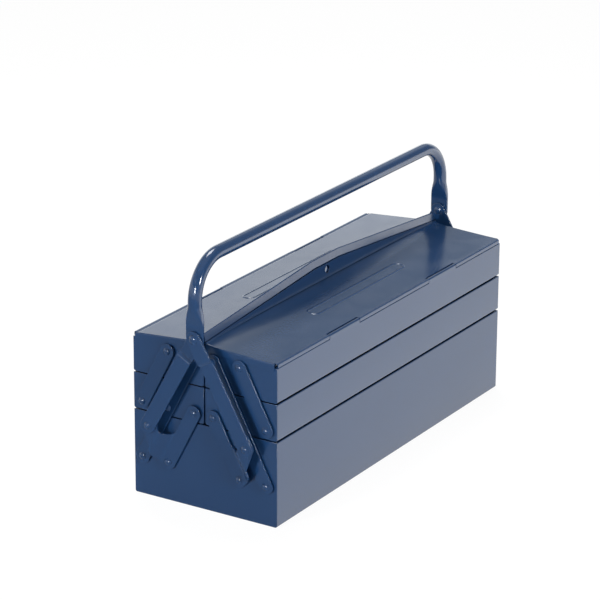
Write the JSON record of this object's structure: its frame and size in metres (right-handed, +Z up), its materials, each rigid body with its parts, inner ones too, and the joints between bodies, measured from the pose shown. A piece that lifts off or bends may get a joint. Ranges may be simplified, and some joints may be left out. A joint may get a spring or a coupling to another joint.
{
  "type": "cantilever tool box",
  "caption": "Sheet-steel tool box: a deep base tray with side trays that swing out on riveted links, peaked hinged lids, and a tube handle that sinks as the trays open.",
  "frame": {"origin": "middle of the base tray's underside, on the surface it stands on", "axes": "+X along the box to the right, -Y out of the front long wall, +Z up"},
  "size_m": [0.5828, 0.2, 0.3204],
  "materials": {
    "enamel_trays": "gloss dark blue stove enamel with a fine orange peel",
    "enamel_lids": "gloss dark blue stove enamel with a fine orange peel",
    "enamel_links": "gloss dark blue stove enamel",
    "enamel_handle": "high gloss dark blue enamel on tube",
    "enamel_rivets": "rivet heads under gloss dark blue enamel",
    "zinc_wire": "bright zinc-plated wire"
  },
  "bodies": {
    "base": {"base_trough": "enamel_trays", "base_left_end": "enamel_trays", "base_right_end": "enamel_trays", "base_rivets": "enamel_rivets", "base_washers": "enamel_rivets"},
    "front_long_links": {"front_long_link_left": "enamel_links", "front_long_link_right": "enamel_links"},
    "front_mid_tray": {"front_mid_trough": "enamel_trays", "front_mid_left_end": "enamel_trays", "front_mid_right_end": "enamel_trays", "front_mid_rivets": "enamel_rivets", "front_mid_washers": "enamel_rivets"},
    "front_top_tray": {"front_top_trough": "enamel_trays", "front_top_knuckles": "enamel_trays", "front_top_left_end": "enamel_trays", "front_top_right_end": "enamel_trays", "front_top_rivets": "enamel_rivets", "front_top_washers": "enamel_rivets", "front_hinge_wire": "zinc_wire"},
    "front_upper_links": {"front_upper_link_left": "enamel_links", "front_upper_link_right": "enamel_links"},
    "front_wing_links": {"front_wing_link_left": "enamel_links", "front_wing_link_right": "enamel_links", "front_wing_rivets": "enamel_rivets"},
    "front_arms": {"front_arm_left": "enamel_links", "front_arm_right": "enamel_links"},
    "front_lid_body": {"front_lid": "enamel_lids", "front_lid_edges": "enamel_lids", "front_lid_ridge": "enamel_lids"},
    "rear_long_links": {"rear_long_link_left": "enamel_links", "rear_long_link_right": "enamel_links"},
    "rear_mid_tray": {"rear_mid_trough": "enamel_trays", "rear_mid_left_end": "enamel_trays", "rear_mid_right_end": "enamel_trays", "rear_mid_rivets": "enamel_rivets", "rear_mid_washers": "enamel_rivets"},
    "rear_top_tray": {"rear_top_trough": "enamel_trays", "rear_top_knuckles": "enamel_trays", "rear_top_left_end": "enamel_trays", "rear_top_right_end": "enamel_trays", "rear_top_rivets": "enamel_rivets", "rear_top_washers": "enamel_rivets", "rear_hinge_wire": "zinc_wire"},
    "rear_upper_links": {"rear_upper_link_left": "enamel_links", "rear_upper_link_right": "enamel_links"},
    "rear_wing_links": {"rear_wing_link_left": "enamel_links", "rear_wing_link_right": "enamel_links", "rear_wing_rivets": "enamel_rivets"},
    "rear_arms": {"rear_arm_left": "enamel_links", "rear_arm_right": "enamel_links"},
    "rear_lid_body": {"rear_lid": "enamel_lids", "rear_lid_edges": "enamel_lids", "rear_lid_ridge": "enamel_lids"},
    "handle_body": {"handle": "enamel_handle", "apex_rivets": "enamel_rivets", "apex_washers": "enamel_rivets"}
  },
  "joints": [
    {"name": "tray_fold", "type": "hinge", "parent": "base", "child": "front_long_links", "pos_m": [0, -0.0865, 0.05], "axis": [1, 0, 0], "range_deg": [0, 55]},
    {"name": "front_wing_link_turn", "type": "hinge", "parent": "base", "child": "front_wing_links", "pos_m": [0, -0.05, 0.05], "axis": [1, 0, 0], "range_deg": [0, 55]},
    {"name": "front_mid_tray_level", "type": "hinge", "parent": "front_long_links", "child": "front_mid_tray", "pos_m": [0, -0.05, 0.1198], "axis": [1, 0, 0], "range_deg": [-55, 0]},
    {"name": "front_top_tray_level", "type": "hinge", "parent": "front_long_links", "child": "front_top_tray", "pos_m": [0, -0.0135, 0.1896], "axis": [1, 0, 0], "range_deg": [-55, 0]},
    {"name": "front_upper_link_turn", "type": "hinge", "parent": "front_mid_tray", "child": "front_upper_links", "pos_m": [0, -0.0865, 0.1198], "axis": [1, 0, 0], "range_deg": [0, 55]},
    {"name": "front_arm_turn", "type": "hinge", "parent": "front_wing_links", "child": "front_arms", "pos_m": [0, -0.068, 0.098], "axis": [1, 0, 0], "range_deg": [-72.6, 0]},
    {"name": "front_lid_open", "type": "hinge", "parent": "front_top_tray", "child": "front_lid_body", "pos_m": [0, -0.0975, 0.2009], "axis": [1, 0, 0], "range_deg": [0, 105]},
    {"name": "rear_long_link_turn", "type": "hinge", "parent": "base", "child": "rear_long_links", "pos_m": [0, 0.0865, 0.05], "axis": [-1, 0, 0], "range_deg": [0, 55]},
    {"name": "rear_wing_link_turn", "type": "hinge", "parent": "base", "child": "rear_wing_links", "pos_m": [0, 0.05, 0.05], "axis": [-1, 0, 0], "range_deg": [0, 55]},
    {"name": "rear_mid_tray_level", "type": "hinge", "parent": "rear_long_links", "child": "rear_mid_tray", "pos_m": [0, 0.05, 0.1198], "axis": [-1, 0, 0], "range_deg": [-55, 0]},
    {"name": "rear_top_tray_level", "type": "hinge", "parent": "rear_long_links", "child": "rear_top_tray", "pos_m": [0, 0.0135, 0.1896], "axis": [-1, 0, 0], "range_deg": [-55, 0]},
    {"name": "rear_upper_link_turn", "type": "hinge", "parent": "rear_mid_tray", "child": "rear_upper_links", "pos_m": [0, 0.0865, 0.1198], "axis": [-1, 0, 0], "range_deg": [0, 55]},
    {"name": "rear_arm_turn", "type": "hinge", "parent": "rear_wing_links", "child": "rear_arms", "pos_m": [0, 0.068, 0.098], "axis": [-1, 0, 0], "range_deg": [-72.6, 0]},
    {"name": "rear_lid_open", "type": "hinge", "parent": "rear_top_tray", "child": "rear_lid_body", "pos_m": [0, 0.0975, 0.2009], "axis": [-1, 0, 0], "range_deg": [0, 105]},
    {"name": "handle_swing", "type": "hinge", "parent": "front_arms", "child": "handle_body", "pos_m": [0, 0, 0.22038], "axis": [1, 0, 0], "range_deg": [-25, 42]}
  ],
  "couplings": [
    {"joint": "front_wing_link_turn", "follows": "tray_fold", "ratio": 1},
    {"joint": "front_mid_tray_level", "follows": "tray_fold", "ratio": -1},
    {"joint": "front_top_tray_level", "follows": "tray_fold", "ratio": -1},
    {"joint": "front_upper_link_turn", "follows": "tray_fold", "ratio": 1},
    {"joint": "front_arm_turn", "follows": "tray_fold", "ratio": -1.32},
    {"joint": "rear_long_link_turn", "follows": "tray_fold", "ratio": 1},
    {"joint": "rear_wing_link_turn", "follows": "tray_fold", "ratio": 1},
    {"joint": "rear_mid_tray_level", "follows": "tray_fold", "ratio": -1},
    {"joint": "rear_top_tray_level", "follows": "tray_fold", "ratio": -1},
    {"joint": "rear_upper_link_turn", "follows": "tray_fold", "ratio": 1},
    {"joint": "rear_arm_turn", "follows": "tray_fold", "ratio": -1.32}
  ]
}
